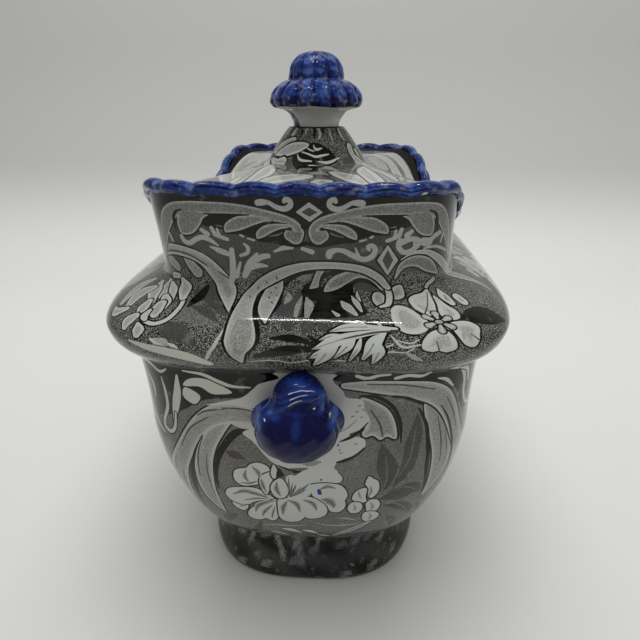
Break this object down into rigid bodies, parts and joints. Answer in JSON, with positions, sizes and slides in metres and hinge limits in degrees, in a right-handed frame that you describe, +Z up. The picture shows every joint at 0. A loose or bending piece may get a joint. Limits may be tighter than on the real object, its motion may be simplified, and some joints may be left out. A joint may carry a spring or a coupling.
{
  "type": "covered sugar bowl",
  "caption": "Oblong pottery sugar bowl on a foot ring, with lug handles, a raised scalloped rim and a domed lift-off cover with a bud finial.",
  "frame": {"origin": "middle of the underside of the foot ring, where the bowl stands", "axes": "+Z up, +Y along the long side towards the back handle, +X across; the front handle is at -Y"},
  "size_m": [0.1116, 0.174, 0.1591],
  "materials": {
    "printed_glaze": "dark brown transfer print with white and grey flowers and scrolls under a clear glossy lead glaze",
    "foot_glaze": "mottled black print with white smears under glossy glaze",
    "cover_glaze": "white and grey leaves on a dark brown printed ground under glossy glaze",
    "cobalt_glaze": "brushed cobalt blue under glossy glaze, darker where it pools",
    "white_glaze": "plain pearl-white glazed earthenware"
  },
  "bodies": {
    "bowl": {"bowl_body": "printed_glaze", "foot_ring": "foot_glaze", "front_handle": "cobalt_glaze", "back_handle": "cobalt_glaze"},
    "cover": {"cover_shell": "cover_glaze", "cover_flange": "white_glaze", "finial": "cobalt_glaze"}
  },
  "joints": [
    {"name": "cover_lift", "type": "slide", "parent": "bowl", "child": "cover", "axis": [0, 0, 1], "range_m": [0, 0.08]}
  ]
}
